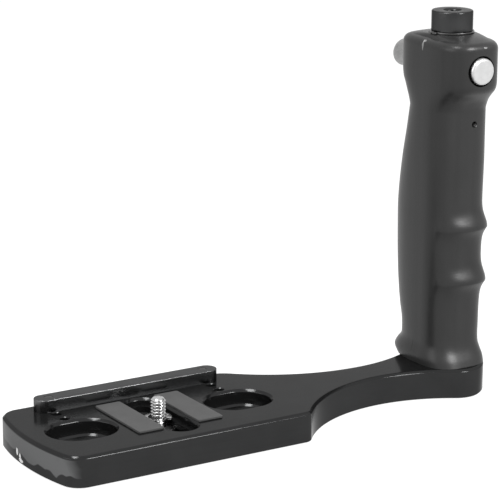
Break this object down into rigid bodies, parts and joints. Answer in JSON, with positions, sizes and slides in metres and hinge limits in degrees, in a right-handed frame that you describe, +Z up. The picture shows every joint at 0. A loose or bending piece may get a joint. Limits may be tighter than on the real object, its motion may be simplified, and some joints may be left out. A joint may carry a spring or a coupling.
{
  "type": "camera tray with handle",
  "caption": "Black slotted tray plate with a backstop rail, pads and a sliding camera screw, joined by a neck to an upright moulded grip with a release button.",
  "frame": {"origin": "under the middle of the whole part's box, on the surface that the tray stands on", "axes": "+X along the tray towards the handle, +Y from the front edge to the backstop rail, +Z up"},
  "size_m": [0.2182, 0.0676, 0.1645],
  "materials": {
    "black_anodised": "black anodised over a fine brushed grain, semi-gloss",
    "post_anodised": "black anodised, smooth",
    "grip_moulded": "black moulded, slightly mottled, satin",
    "pad_rubber": "dark grey, matte",
    "bright_steel": "bright plated",
    "dull_steel": "dull plated",
    "black_steel": "black oxide",
    "button_silver": "pale satin plated",
    "bush_black": "black",
    "socket_brass": "turned",
    "collar_grey": "knurled, satin nickel"
  },
  "bodies": {
    "tray": {"tray_plate": "black_anodised", "backstop_rail": "black_anodised", "rail_screw_left": "black_steel", "rail_screw_right": "black_steel", "pad_left": "pad_rubber", "pad_right": "pad_rubber", "handle_post": "post_anodised", "handle_bolt": "black_steel", "handle_bolt_washer": "dull_steel", "grip_dowel_left": "dull_steel", "grip_dowel_right": "dull_steel", "grip": "grip_moulded", "grip_snap_ring": "dull_steel", "grip_set_screw": "black_steel", "button_bush": "bush_black", "button_spring": "dull_steel", "cable_nipple": "socket_brass"},
    "screw_slider": {"camera_screw_washer": "dull_steel"},
    "camera_screw": {"camera_screw": "bright_steel", "camera_screw_clip": "dull_steel", "camera_screw_knob": "black_anodised"},
    "release_button": {"release_button": "button_silver", "push_rod": "bright_steel", "push_rod_clip": "dull_steel"},
    "cable_clamp": {"cable_clamp_ring": "bush_black"},
    "cable_collar": {"cable_collar": "collar_grey"}
  },
  "joints": [
    {"name": "screw_slide", "type": "slide", "parent": "tray", "child": "screw_slider", "axis": [0, 1, 0], "range_m": [-0.0182, 0.013]},
    {"name": "camera_screw_turn", "type": "hinge", "parent": "screw_slider", "child": "camera_screw", "pos_m": [-0.05, -0.00225, 0.005], "axis": [0, 0, 1], "continuous": true},
    {"name": "button_press", "type": "slide", "parent": "tray", "child": "release_button", "axis": [0, 1, 0], "range_m": [0, 0.0035], "stiffness_N_per_m": 600, "springref_m": -0.0015, "deforming": ["button_spring"]},
    {"name": "collar_travel", "type": "slide", "parent": "tray", "child": "cable_clamp", "axis": [0, 1, 0], "range_m": [0, 0.003]},
    {"name": "collar_turn", "type": "hinge", "parent": "cable_clamp", "child": "cable_collar", "pos_m": [0.0925, 0.02675, 0.1417], "axis": [0, 1, 0], "range_deg": [0, 1440]}
  ],
  "couplings": [
    {"joint": "collar_turn", "follows": "collar_travel", "rad_per_m": 8377.6}
  ]
}
